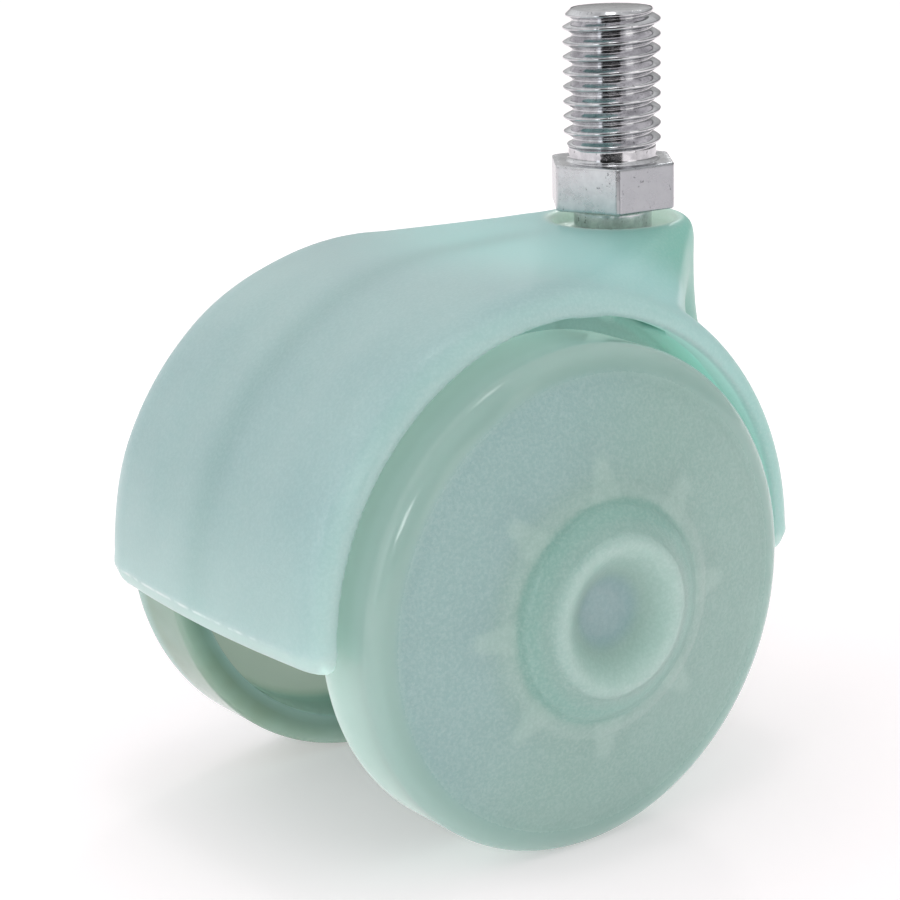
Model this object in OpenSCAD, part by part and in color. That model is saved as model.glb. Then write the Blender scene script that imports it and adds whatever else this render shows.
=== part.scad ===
/* [Overall] */
// Height of the stem's seat above the floor
seat_h = 62.2; // [58:0.1:66]
// Distance from the swivel axis back to the wheel axle
trail = 21.8; // [20:0.2:24]

/* [Wheels] */
// Diameter of each wheel
wheel_d = 50; // [46:0.5:52]
// Distance between the inner edges of the two wheels
wheel_gap = 27.2; // [25:0.2:30]
// Width of the flat part of the tread
tread_w = 7; // [6:0.25:9]
// How far the rounded shoulder reaches in from the tread
shoulder_w = 3.2; // [2.5:0.1:4.5]
// How far the rounded shoulder stands out past the tread
shoulder_h = 2.2; // [1:0.1:3]
// How far the face rises from the shoulder to the hub
face_rise = 2.2; // [1.5:0.1:3.5]
// Radial thickness of the rim
rim_t = 3.4; // [2.5:0.1:4.5]
// Thickness of the wheel's disc
disc_t = 2.5; // [1.8:0.1:3]

/* [Hubs] */
// Diameter of the raised hub where it meets the face
hub_base_d = 21.4; // [20:0.2:24]
// Diameter of the raised hub over its rim
hub_rim_d = 16; // [14:0.2:18]
// Height of the raised hub above the face
hub_rise = 2.3; // [1.5:0.1:3]
// Diameter of the flat floor of the dish in the hub
dish_d = 8.3; // [6:0.1:10]
// Depth of the dish below the hub's rim
dish_depth = 2.7; // [1.5:0.1:3]
// Width of the rounded crest between flank and dish
crest_w = 1.8; // [1:0.1:2.4]
// Outer diameter of the tube round the axle
tube_d = 13; // [10:0.5:16]
// Number of short ribs round the tube
rib_count = 8; // [4:1:12]
// Radius that the tips of the ribs reach
rib_reach = 15.4; // [13:0.2:18]
// Width of a rib at its root
rib_root_w = 3.2; // [2:0.1:4]
// Width of a rib at its tip
rib_tip_w = 1.4; // [1:0.1:2]
// Height of a rib
rib_h = 3.2; // [2:0.1:5]

/* [Axle] */
// Diameter of the axle
axle_d = 6; // [5:0.25:7]
// Depth of the snap groove near each end
snap_depth = 0.5; // [0.3:0.05:0.7]
// Width of the snap groove
snap_w = 1.6; // [1.2:0.1:2.4]

/* [Hood] */
// Width of the hood across its side edges
hood_w = 38; // [36:0.5:40]
// How much larger the round openings at the hood's sides are than the wheels, in radius
rim_clear = 1.8; // [1.5:0.1:2.1]
// Radial thickness of the hood's side rims
rim_wall = 0.6; // [0.4:0.1:1.2]
// Width of the hood's side rims
rim_w = 1.6; // [1:0.1:2.4]
// Radial height of the rounding along the side edges
edge_h = 2.5; // [2:0.1:4]
// Width of the rounding along the side edges
edge_w = 4.5; // [3:0.1:6]
// How far the middle of the hood stands above the roundings
crown_h = 0.7; // [0.4:0.1:1.5]
// How far the centre of the hood's round lies behind the axle
crown_back = 0.4; // [0:0.1:0.8]
// How far the centre of the hood's round lies above the axle
crown_up = 0.2; // [0:0.1:0.8]
// Thickness of the hood's shell
hood_wall = 2.4; // [1.8:0.1:2.8]
// How far the hood's lips reach below the axle's centre
lip_drop = 1.5; // [0.5:0.1:3]
// Height of the rolled edge along the lips
lip_roll = 2.4; // [1:0.1:3]
// How far the rolled edge turns in
lip_turn = 0.9; // [0.4:0.1:1.4]
// How much narrower the lips are at their bottom, at each side
lip_corner = 2.4; // [0.5:0.1:3]
// Thickness of the middle web
web_t = 3; // [2:0.1:4]
// Diameter of the axle boss on the web
boss_d = 13; // [10:0.5:16]
// Length of the axle boss
boss_l = 19; // [14:0.5:21]

/* [Neck] */
// Diameter of the neck at its top
neck_d = 16.4; // [15:0.1:18]
// Draft of the neck's wall in degrees
neck_draft = 2; // [1:0.25:4]
// Height of the drafted part of the neck
neck_h = 11; // [8:0.5:14]
// How far the flare at the neck's foot stands out
neck_flare = 2.2; // [1:0.1:4]
// Height of the flare above the neck's foot
flare_h = 1; // [0.5:0.5:4]
// Radius of the rounding at the top of the neck
neck_round = 1.5; // [1:0.1:2.5]
// Diameter of the recess round the shank
recess_d = 12; // [10:0.1:13]
// Depth of the recess round the shank
recess_h = 1.2; // [0.5:0.1:2]
// Depth of the socket for the stem
socket_depth = 22.9; // [18:0.1:24]
// Thickness of the socket's floor
socket_floor = 2.6; // [2:0.1:3.5]
// Thickness of the socket's wall at its lower end
socket_wall = 3.4; // [2.5:0.1:4]
// Thickness of the two ribs from the socket to the shell
gusset_t = 1.8; // [1.2:0.1:2.5]
// Plan angle of the two ribs, from straight ahead
gusset_angle = 45; // [35:1:55]

/* [Stem] */
// Diameter over the thread
thread_d = 10; // [8:0.1:12]
// Length from the seat to the end of the stem
thread_len = 15.3; // [10:0.1:30]
// Height of the chamfer at the stem's end
thread_chamfer = 0.8; // [0.5:0.1:1.5]
// Diameter of the plain collar between hexagon and thread
collar_d = 9; // [7:0.1:9.5]
// Height of the plain collar
collar_h = 1.4; // [1:0.1:3]
// Width of the hexagon across its flats
hex_af = 12; // [11:0.1:14]
// How much the hexagon's corners are rounded off, in radius
corner_cut = 0.13; // [0.05:0.01:0.3]
// Height of the hexagon
hex_h = 4.7; // [3:0.1:7]
// Turn of the hexagon about the stem in degrees
hex_turn = -5; // [-30:0.5:30]
// Diameter of the plain shank
shank_d = 8; // [7:0.1:9]
// Length of shank that shows between hexagon and neck
shank_show = 1.3; // [0.8:0.1:4]
// Distance from the shank's end to its ring groove
groove_up = 3; // [2:0.1:5]

/* [Retaining ring] */
// Thickness of the ring along the stem
ring_t = 1.2; // [0.8:0.1:1.6]
// How far the ring stands out past the shank
ring_out = 0.7; // [0.4:0.05:0.9]
// Depth of the ring's groove in the shank
ring_in = 0.7; // [0.5:0.05:1]
// Angle of the gap in the ring
ring_gap = 40; // [20:5:80]

/* [Fits] */
// Radial running clearance of shank and axle
run_clear = 0.05; // [0.02:0.01:0.1]
// Radial clearance of the axle in its boss, which grips it
press_clear = 0.01; // [0:0.01:0.02]
// Clearance round pieces that only pass each other
side_clear = 0.3; // [0.2:0.05:0.5]

/* [Hidden] */

steel = "silver";
aqua = "powderblue";
sea_green = "mediumaquamarine";

// Places, with the swivel axis on Z and the thread's lower end at zero height
wheel_r = wheel_d / 2;
seat_z = -collar_h;
stem_end = seat_z + thread_len;
axle_x = -trail;
axle_z = seat_z - seat_h + wheel_r;
hex_bottom = seat_z - hex_h;
neck_top = hex_bottom - shank_show;
socket_bottom = neck_top - socket_depth;
shank_end = socket_bottom + side_clear;

// Distances across the wheels, from the middle plane outwards
tread_in = wheel_gap / 2;
tread_out = tread_in + tread_w;
face_out = tread_out + shoulder_h;
face_in = face_out + face_rise;
hub_top = face_in + hub_rise;
dish_floor = hub_top - dish_depth;
hub_end = boss_l / 2 + side_clear;
bore_end = dish_floor - disc_t;
axle_end = bore_end - side_clear;
snap_mid = axle_end - 2 * snap_w;
face_r = wheel_r - shoulder_w;
cavity_r = wheel_r - rim_t;

// Radii of the hood about the axle
rim_in_r = wheel_r + rim_clear;
rim_out_r = rim_in_r + rim_wall;
edge_r = rim_out_r + edge_h;
crown_r = edge_r + crown_h;
crown_x = axle_x + crown_back;
crown_z = axle_z + crown_up;
saddle_ahead = 0.45 * crown_r;
saddle_behind = 0.35 * crown_r;
saddle_low = axle_z + 0.6 * crown_r;
flare_low = axle_z + 0.2 * crown_r;
lip_z = axle_z - lip_drop;
edge_y = hood_w / 2 - edge_w;
crown_arc = (crown_h * crown_h + edge_y * edge_y) / (2 * crown_h);
crown_half = asin(edge_y / crown_arc);

// Small edges, overlaps and facets
lead_in = 0.4;
tread_edge = 0.5;
bead_slope = 0.2;
cavity_edge = 1;
cavity_draft = 0.2;
hub_foot = 0.6;
hub_brow = 0.8;
dish_edge = 0.4;
flank_turn = 150;
hex_foot = 0.5;
hex_edge = 0.2;
groove_clear = 0.1;
slice = 0.01;
skin = 0.6;
under = 0.08;
far = 100;
round_fn = 96;
soft_fn = 32;

// Points along an elliptical arc from one angle to another
function arc(x, y, rx, ry, from, to, n) =
    [for (i = [0:n]) let (a = from + (to - from) * i / n) [x + rx * cos(a), y + ry * sin(a)]];

// Radius of the neck at a depth below its top
function neck_r(drop) = neck_d / 2 + drop * tan(neck_draft);

// Turns a profile of radius and sideways distance about the axle
module about_axle() {
    translate([axle_x, 0, axle_z]) rotate([-90, 0, 0]) rotate_extrude($fn = round_fn) children();
}

// Turns a profile about the centre of the hood's round
module about_crown(fn = round_fn) {
    translate([crown_x, 0, crown_z]) rotate([-90, 0, 0]) rotate_extrude($fn = fn) children();
}

// Outline of half of the hood's section, from the middle plane to the side edge
function crown_side() = concat(
    [for (i = [0:4]) let (a = crown_half * i / 4)
        [crown_r - crown_arc * (1 - cos(a)), crown_arc * sin(a)]],
    [for (p = arc(edge_y, rim_out_r, edge_w, edge_h, 90, 0, 8)) if (p[0] > edge_y + slice) [p[1], p[0]]]
);

// The same outline shrunk by the wall, as far out as the side rims
function cavity_side() = concat(
    [for (i = [0:3]) let (a = crown_half * i / 3)
        [crown_r - hood_wall - (crown_arc - hood_wall) * (1 - cos(a)), (crown_arc - hood_wall) * sin(a)]],
    [[rim_in_r - skin, hood_w / 2 - rim_w + skin]]
);

// Both halves of an outline, closed along the axis
function both_sides(side) = concat(
    [[0, side[len(side) - 1][1]]],
    [for (i = [len(side) - 1:-1:1]) side[i]],
    [for (p = side) [p[0], -p[1]]],
    [[0, -side[len(side) - 1][1]]]
);

// Solid round of the hood
module crown_solid() {
    about_crown() polygon(both_sides(crown_side()));
}

// Space under the round, inside the shell
module crown_cavity() {
    about_crown() polygon(both_sides(cavity_side()));
}

// Turned outline drawn in a little, so that a blend starts under the true surface
module under_skin(side) {
    about_crown(2 * soft_fn) offset(delta = -under) polygon(both_sides(side));
}

// Everything above a level
module above(level) {
    translate([-far, -far, level]) cube([2 * far, 2 * far, far]);
}

// Slice across the hood, by distances ahead of and behind the axle
module across(ahead, behind, level) {
    translate([axle_x - behind, -far, level]) cube([ahead + behind, 2 * far, far]);
}

// Plan of the hood at the height of its centre
module hood_plan() {
    side = [for (p = both_sides(crown_side())) if (p[0] > 0) p];
    translate([crown_x, 0]) polygon(concat(
        side,
        [for (i = [len(side) - 1:-1:0]) [-side[i][0], side[i][1]]]
    ));
}

// Slice of the lips at a share of the rolled edge, drawn in by other shares
module lip_slice(height, turn, corner) {
    width = hood_w - 2 * corner * lip_corner;
    translate([0, 0, lip_z + height * lip_roll]) linear_extrude(slice) intersection() {
        offset(delta = -turn * lip_turn) hood_plan();
        translate([-far, -width / 2]) square([2 * far, width]);
    }
}

// Edge of the lips, rolled in towards the bottom
module lip_band() {
    hull() {
        lip_slice(1, 0, 0);
        lip_slice(0.6, 0.1, 0.15);
        lip_slice(0.25, 0.4, 0.45);
        lip_slice(0, 1, 1);
    }
}

// Neck with its drafted wall and rounded top, and the socket below it
module neck_column() {
    depth = socket_depth + socket_floor;
    translate([0, 0, neck_top]) rotate_extrude($fn = round_fn) polygon(concat(
        [[0, 0]],
        arc(neck_r(0) - neck_round, -neck_round, neck_round, neck_round, 90, neck_draft, 6),
        [[neck_r(neck_h), -neck_h],
         [neck_r(neck_h), -0.6 * depth],
         [shank_d / 2 + socket_wall, -depth],
         [0, -depth]]
    ));
}

// Bridge that carries the top of the hood on to the neck
module saddle() {
    hull() {
        intersection() {
            under_skin(crown_side());
            across(saddle_ahead, saddle_behind, saddle_low);
        }
        translate([0, 0, neck_top]) rotate_extrude($fn = soft_fn) polygon(concat(
            arc(neck_r(0) - neck_round, -neck_round, neck_round - under, neck_round - under, 90, neck_draft, 3),
            [[neck_r(neck_h / 3) - under, -neck_h / 3], [0, -neck_h / 3], [0, -under]]
        ));
    }
}

// Hollow under the bridge, one wall thick below it
module saddle_hollow() {
    hull() {
        intersection() {
            under_skin(cavity_side());
            across(saddle_ahead - skin, saddle_behind, saddle_low);
        }
        translate([0, 0, neck_top - 2 * hood_wall])
            cylinder(r = neck_r(0) - hood_wall, h = hood_wall, $fn = soft_fn);
    }
}

// Flare from the neck's wall on to the round of the hood
module neck_root() {
    drop = neck_h - flare_h;
    hull() {
        intersection() {
            under_skin(crown_side());
            translate([0, 0, flare_low]) cylinder(r = neck_r(neck_h) + neck_flare, h = far, $fn = soft_fn);
        }
        translate([0, 0, neck_top - drop]) cylinder(r = neck_r(drop) - under, h = slice, $fn = soft_fn);
    }
}

// Outside of the hood with the neck
module hood_outside() {
    intersection() {
        crown_solid();
        above(lip_z + lip_roll);
    }
    lip_band();
    neck_column();
    saddle();
    neck_root();
}

// Round openings at the hood's sides
module side_openings() {
    about_crown() translate([0, -far / 2]) square([rim_in_r, far]);
}

// Space inside the hood's shell, with the openings at its sides
module hood_inside() {
    crown_cavity();
    saddle_hollow();
    side_openings();
}

// Boss that holds the axle
module axle_boss() {
    about_axle() translate([0, -boss_l / 2]) square([boss_d / 2, boss_l]);
}

// Upright ribs that run from the socket out to the shell, clear of the wheels
module gussets() {
    difference() {
        for (side = [-1, 1])
            rotate([0, 0, 180 + side * gusset_angle]) translate([0, -gusset_t / 2, lip_z])
                cube([far, gusset_t, far]);
        side_openings();
    }
}

// Everything that is empty inside the hood, round the web, socket, boss and ribs
module hood_void() {
    difference() {
        hood_inside();
        translate([-far, -web_t / 2, -far]) cube([2 * far, web_t, 2 * far]);
        neck_column();
        axle_boss();
        gussets();
    }
}

// Bore for the shank with the recess at its mouth and the one for its ring
module socket_bore() {
    bore_r = shank_d / 2 + run_clear;
    ring_z = shank_end + groove_up;
    translate([0, 0, socket_bottom]) cylinder(r = bore_r, h = far, $fn = round_fn);
    translate([0, 0, neck_top - recess_h]) cylinder(d = recess_d, h = far, $fn = round_fn);
    translate([0, 0, ring_z - side_clear])
        cylinder(r = shank_d / 2 + ring_out + side_clear, h = ring_t + 2 * side_clear, $fn = round_fn);
}

module stem() {
    shank_r = shank_d / 2;
    groove_z = shank_end + groove_up;
    corner_r = hex_af / 2 / cos(30) - corner_cut;
    color(steel) union() {
        rotate_extrude($fn = round_fn) polygon([
            [0, shank_end],
            [shank_r - lead_in, shank_end],
            [shank_r, shank_end + lead_in],
            [shank_r, groove_z - groove_clear],
            [shank_r - ring_in, groove_z - groove_clear],
            [shank_r - ring_in, groove_z + ring_t + groove_clear],
            [shank_r, groove_z + ring_t + groove_clear],
            [shank_r, hex_bottom + hex_foot],
            [collar_d / 2, hex_bottom + hex_foot],
            [collar_d / 2, -(thread_d - collar_d) / 4],
            [thread_d / 2, 0],
            [thread_d / 2, stem_end - thread_chamfer],
            [thread_d / 2 - thread_chamfer, stem_end],
            [0, stem_end]
        ]);
        intersection() {
            translate([0, 0, hex_bottom]) rotate([0, 0, hex_turn])
                cylinder(d = hex_af / cos(30), h = hex_h, $fn = 6);
            translate([0, 0, hex_bottom]) rotate_extrude($fn = round_fn) polygon([
                [0, 0],
                [corner_r - hex_edge, 0],
                [corner_r, hex_edge],
                [corner_r, hex_h - hex_edge],
                [corner_r - hex_edge, hex_h],
                [0, hex_h]
            ]);
        }
    }
}

module retaining_ring() {
    inner = shank_d / 2 - ring_in + run_clear;
    outer = shank_d / 2 + ring_out;
    color(steel) translate([0, 0, shank_end + groove_up]) rotate([0, 0, ring_gap / 2])
        rotate_extrude(angle = 360 - ring_gap, $fn = round_fn)
            translate([inner, 0]) square([outer - inner, ring_t]);
}

module housing() {
    color(aqua) difference() {
        union() {
            hood_outside();
            axle_boss();
        }
        hood_void();
        socket_bore();
        about_axle() translate([0, -far]) square([axle_d / 2 + press_clear, 2 * far]);
    }
}

module axle() {
    r = axle_d / 2;
    half = [
        [r, snap_mid - snap_w / 2],
        [r - snap_depth, snap_mid - snap_w / 2],
        [r - snap_depth, snap_mid + snap_w / 2],
        [r, snap_mid + snap_w / 2],
        [r, axle_end - lead_in],
        [r - lead_in, axle_end],
        [0, axle_end]
    ];
    color(steel) about_axle() polygon(concat(
        half,
        [for (i = [len(half) - 1:-1:0]) [half[i][0], -half[i][1]]]
    ));
}

// Section of a wheel from the axle outwards
module wheel_section() {
    bore_r = axle_d / 2 + run_clear;
    bead_r = axle_d / 2 - snap_depth + 2 * run_clear;
    bead_w = snap_w - 2 * side_clear;
    hub_rim_r = hub_rim_d / 2;
    cavity_out = face_out - disc_t;
    cavity_in = face_in - disc_t;
    polygon(concat(
        [[0, bore_end],
         [bore_r, bore_end],
         [bore_r, snap_mid + bead_w / 2 + bead_slope],
         [bead_r, snap_mid + bead_w / 2],
         [bead_r, snap_mid - bead_w / 2],
         [bore_r, snap_mid - bead_w / 2 - bead_slope],
         [bore_r, hub_end + lead_in],
         [bore_r + lead_in, hub_end],
         [tube_d / 2, hub_end],
         [tube_d / 2, cavity_in],
         [hub_base_d / 2, cavity_in],
         [cavity_r - cavity_edge, cavity_out + cavity_draft]],
        arc(cavity_r - cavity_edge, cavity_out + cavity_draft - cavity_edge, cavity_edge, cavity_edge, 90, 0, 4),
        [[cavity_r + cavity_draft, tread_in]],
        arc(wheel_r - tread_edge, tread_in + tread_edge, tread_edge, tread_edge, -90, 0, 4),
        arc(wheel_r - shoulder_w, tread_out, shoulder_w, shoulder_h, 0, 90, 8),
        arc(hub_base_d / 2 + hub_foot, face_in + hub_foot, 2 * hub_foot, hub_foot, -flank_turn / 2, -flank_turn, 3),
        arc(hub_rim_r - crest_w / 2, hub_top - hub_brow, crest_w / 2, hub_brow, flank_turn / 10, flank_turn, 5),
        [[dish_d / 2 + dish_edge, dish_floor + dish_edge / 2],
         [dish_d / 2 - dish_edge, dish_floor],
         [0, dish_floor]]
    ));
}

// Tapered rib from the hub's tube along the inside of the face
module hub_rib() {
    top_in = face_in - disc_t + skin;
    top_out = face_out - disc_t + skin;
    slope = (top_in - top_out) / (face_r - hub_base_d / 2);
    rib_top = top_in - slope * (rib_reach - hub_base_d / 2);
    translate([0, 0, rib_top - rib_h]) linear_extrude(rib_h) polygon([
        [tube_d / 2 - skin, -rib_root_w / 2],
        [hub_base_d / 2, -rib_root_w / 2],
        [rib_reach, -rib_tip_w / 2],
        [rib_reach, rib_tip_w / 2],
        [hub_base_d / 2, rib_root_w / 2],
        [tube_d / 2 - skin, rib_root_w / 2]
    ]);
}

// One wheel on the side that y points to
module wheel(side) {
    translate([axle_x, 0, axle_z]) rotate([-90 * side, 0, 0]) union() {
        rotate_extrude($fn = round_fn) wheel_section();
        for (i = [0:rib_count - 1])
            rotate([0, 0, 90 + 360 / rib_count * i]) hub_rib();
    }
}

module wheel_left() {
    color(sea_green) wheel(1);
}

module wheel_right() {
    color(sea_green) wheel(-1);
}

stem();
retaining_ring();
housing();
axle();
wheel_left();
wheel_right();
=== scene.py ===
import bmesh
import bpy
import math
import numpy as np
from mathutils import Matrix, Vector


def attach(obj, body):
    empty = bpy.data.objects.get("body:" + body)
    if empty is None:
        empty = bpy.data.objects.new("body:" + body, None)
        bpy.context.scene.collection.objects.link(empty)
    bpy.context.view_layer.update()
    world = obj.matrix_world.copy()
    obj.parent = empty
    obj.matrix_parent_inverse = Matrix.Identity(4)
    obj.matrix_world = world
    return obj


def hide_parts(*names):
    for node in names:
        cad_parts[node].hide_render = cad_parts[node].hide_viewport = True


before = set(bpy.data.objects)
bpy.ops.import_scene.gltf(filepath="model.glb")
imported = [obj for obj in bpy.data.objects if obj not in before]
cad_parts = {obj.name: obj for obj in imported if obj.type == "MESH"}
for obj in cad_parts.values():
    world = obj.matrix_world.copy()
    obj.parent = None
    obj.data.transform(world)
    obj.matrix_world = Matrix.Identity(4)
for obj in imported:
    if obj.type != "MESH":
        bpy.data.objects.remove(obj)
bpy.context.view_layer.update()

# All lengths below are millimetres in the CAD frame; objects are made in metres.
MM = 0.001
AX, AZ = -21.8, -38.6
FLOOR_Z = -63.6
SEAT_Z, HEX_H, HEX_AF, HEX_TURN = -1.4, 4.7, 12.0, -5.0
STEM_TOP, STEM_END_R = 13.9, 4.1
THREAD_PITCH, THREAD_CREST, THREAD_ROOT = 1.5, 4.97, 4.02
# height of a crest on the side that faces the camera, brought round to the x axis
THREAD_PHASE = 12.76 + THREAD_PITCH * 36.07 / 360
COLLAR_R, SHANK_R, GROOVE_R = 4.5, 4.0, 3.3
NECK_TOP = -7.4
NECK_R, NECK_DRAFT, NECK_ROUND = 8.2, math.tan(math.radians(2)), 1.5
SOCKET_D, SOCKET_FLOOR = 22.9, 2.6
SHANK_END = NECK_TOP - SOCKET_D + 0.3
GROOVE_Z = SHANK_END + 3.0


# ---------------------------------------------------------------- meshes
def make_object(name, verts, faces, body, material, replaced):
    """Smooth mesh, given in millimetres, that takes the place of a CAD node."""
    me = bpy.data.meshes.new(name)
    me.from_pydata((np.asarray(verts, float) * MM).tolist(), [], faces)
    me.update()
    me.polygons.foreach_set("use_smooth", np.ones(len(me.polygons), bool))
    ob = bpy.data.objects.new(name, me)
    bpy.context.scene.collection.objects.link(ob)
    me.materials.append(material)
    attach(ob, body)
    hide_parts(replaced)
    return ob


def set_attribute(ob, name, values):
    """Value at each point, read by the material's nodes."""
    a = ob.data.attributes.new(name, "FLOAT", "POINT")
    a.data.foreach_set("value", np.asarray(values, np.float32))


def smoothstep(x, lo, hi):
    t = np.clip((x - lo) / (hi - lo), 0.0, 1.0)
    return t * t * (3 - 2 * t)


def arc(x, y, rx, ry, start, end, n):
    """Points of an ellipse's arc, from one angle to another in degrees."""
    t = np.radians(np.linspace(start, end, n + 1))
    return np.stack([x + rx * np.cos(t), y + ry * np.sin(t)], 1)


def resample(profile, step):
    """Points along a profile no further apart than step, its own points kept."""
    out = [profile[0]]
    for a, b in zip(profile[:-1], profile[1:]):
        n = max(1, int(math.ceil(np.linalg.norm(b - a) / step)))
        for i in range(1, n + 1):
            out.append(a + (b - a) * i / n)
    return np.array(out)


def lathe(profile, n):
    """Rings of radius and height turned about Z, poles where the radius is zero."""
    verts, rings = [], []
    ang = np.arange(n) * 2 * np.pi / n
    for r, h in profile:
        if r < 1e-6:
            rings.append([len(verts)])
            verts.append((0.0, 0.0, h))
        else:
            rings.append(list(range(len(verts), len(verts) + n)))
            verts.extend(np.stack([r * np.cos(ang), r * np.sin(ang), np.full(n, h)], 1).tolist())
    faces = []
    for a, b in zip(rings[:-1], rings[1:]):
        for i in range(n):
            j = (i + 1) % n
            if len(a) == 1:
                faces.append((a[0], b[i], b[j]))
            elif len(b) == 1:
                faces.append((a[i], b[0], a[j]))
            else:
                faces.append((a[i], b[i], b[j], a[j]))
    return np.array(verts), faces


def join(parts):
    """One mesh from several."""
    verts, faces, base = [], [], 0
    for v, f in parts:
        verts.append(v)
        faces += [tuple(i + base for i in fc) for fc in f]
        base += len(v)
    return np.concatenate(verts), faces


# ------------------------------------------------------------- materials
BUMP_DEPTH = 0.0001


def srgb(r, g, b):
    """Linear colour from one read off the photo."""
    return tuple(((c / 255 + 0.055) / 1.055) ** 2.4 if c > 10 else c / 255 / 12.92 for c in (r, g, b))


class Nodes:
    """Short hand for building a node material."""

    def __init__(self, name):
        self.mat = bpy.data.materials.new(name)
        self.mat.use_nodes = True
        self.tree = self.mat.node_tree
        self.bsdf = self.tree.nodes["Principled BSDF"]
        # the faint light that some surfaces give off needs no sampling of its own
        self.mat.cycles.emission_sampling = "NONE"

    def new(self, kind, **inputs):
        n = self.tree.nodes.new(kind)
        for k, v in inputs.items():
            self.put(n, k.replace("_", " "), v)
        return n

    def put(self, n, key, v):
        s = n.inputs[key]
        if isinstance(v, bpy.types.NodeSocket):
            self.tree.links.new(v, s)
        else:
            s.default_value = v

    def coords(self):
        return self.new("ShaderNodeTexCoord").outputs["Object"]

    def noise(self, vector, scale, detail=2.0, roughness=0.5):
        n = self.new("ShaderNodeTexNoise", Scale=scale, Detail=detail, Roughness=roughness)
        self.tree.links.new(vector, n.inputs["Vector"])
        return n.outputs["Fac"]

    def ramp(self, fac, stops):
        n = self.new("ShaderNodeValToRGB")
        self.tree.links.new(fac, n.inputs["Fac"])
        e = n.color_ramp.elements
        while len(e) < len(stops):
            e.new(0.5)
        for el, (pos, col) in zip(e, stops):
            el.position = pos
            el.color = (*col, 1)
        return n.outputs["Color"]

    def math(self, op, a, b=0.0):
        n = self.new("ShaderNodeMath")
        n.operation = op
        for i, v in enumerate((a, b)):
            if isinstance(v, bpy.types.NodeSocket):
                self.tree.links.new(v, n.inputs[i])
            else:
                n.inputs[i].default_value = v
        return n.outputs[0]

    def span(self, v, a, b, c, d):
        """Takes a value from the range a to b on to the range c to d, clamped."""
        n = self.new("ShaderNodeMapRange")
        n.clamp = True
        self.tree.links.new(v, n.inputs["Value"])
        for k, x in zip(("From Min", "From Max", "To Min", "To Max"), (a, b, c, d)):
            n.inputs[k].default_value = x
        return n.outputs["Result"]

    def mix(self, fac, a, b):
        n = self.new("ShaderNodeMix")
        n.data_type = "RGBA"
        for key, v in ((0, fac), (6, a), (7, b)):
            if isinstance(v, bpy.types.NodeSocket):
                self.tree.links.new(v, n.inputs[key])
            else:
                n.inputs[key].default_value = (*v, 1)
        return n.outputs[2]

    def attribute(self, name):
        n = self.new("ShaderNodeAttribute")
        n.attribute_name = name
        return n.outputs["Fac"]

    def tint(self, body, name, amount, colour):
        """Mixes a colour in where an attribute of the mesh says so."""
        return self.mix(self.math("MULTIPLY", self.attribute(name), amount), body, srgb(*colour))

    def bump(self, height, strength):
        n = self.new("ShaderNodeBump", Strength=strength, Distance=BUMP_DEPTH)
        self.tree.links.new(height, n.inputs["Height"])
        return n.outputs["Normal"]


def hood_plastic():
    m = Nodes("hood_plastic")
    co = m.coords()
    cloud = m.noise(co, 70, 3)
    grain = m.noise(co, 3000, 2, 0.7)
    body = m.mix(m.span(cloud, 0.35, 0.65, 0, 1), srgb(156, 182, 183), srgb(162, 187, 187))
    body = m.tint(body, "neck", 0.9, (165, 216, 212))
    # painted shade: darker and greener towards the right-hand side and front, away from the light
    body = m.mix(m.attribute("right_shade"), body, srgb(116, 180, 163))
    # painted shadow: a darker stripe where the inner web shades the crown from inside
    body = m.tint(body, "web", 0.4, (132, 166, 164))
    # painted light: the hood's side edges lighter, glowing with light let through the thin plastic
    body = m.tint(body, "rim", 0.4, (160, 196, 191))
    # painted light: the rolled band at the lip lighter, with light let through the thin edge
    body = m.tint(body, "lip", 0.7, (176, 208, 199))
    # painted light: the recess round the shank lit beige by light let through the plastic
    body = m.mix(m.attribute("mouth"), body, srgb(178, 184, 172))
    body = m.mix(m.span(grain, 0.4, 0.75, 0, 0.1), body, srgb(240, 250, 248))
    place = m.new("ShaderNodeSeparateXYZ", Vector=co)
    # painted light from the floor: the hood is lighter towards the bottom
    body = m.mix(m.span(place.outputs["Z"], -0.04, -0.025, 0.45, 0), body, srgb(176, 206, 201))
    # painted highlight: the broken bright line along the top of the lip
    off = m.math("ABSOLUTE", m.math("SUBTRACT", place.outputs["Z"], (LIP_Z + 2.15) * MM))
    broken = m.span(m.noise(co, 620, 3), 0.42, 0.6, 0, 0.55)
    glint = m.math("MULTIPLY", m.span(off, 0.00004, 0.00024, 1, 0), broken)
    glint = m.math("MULTIPLY", glint, m.span(place.outputs["Y"], -0.014, -0.006, 0, 1))
    body = m.mix(glint, body, srgb(232, 246, 243))
    m.put(m.bsdf, "Base Color", body)
    m.put(m.bsdf, "Roughness", m.span(grain, 0.3, 0.7, 0.28, 0.42))
    m.put(m.bsdf, "IOR", 1.5)
    m.put(m.bsdf, "Subsurface Weight", 1.0)
    m.put(m.bsdf, "Subsurface Radius", (0.85, 1.0, 0.97))
    m.put(m.bsdf, "Subsurface Scale", 0.01)
    # painted glow: the hood's inner surfaces and the recess round the shank give off a faint light,
    # standing in for light let through the plastic
    m.put(m.bsdf, "Emission Color", m.mix(m.attribute("inside"), (0, 0, 0), srgb(98, 123, 115)))
    m.put(m.bsdf, "Emission Strength", 1.0)
    m.put(m.bsdf, "Normal", m.bump(grain, 0.28))
    return m.mat


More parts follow.
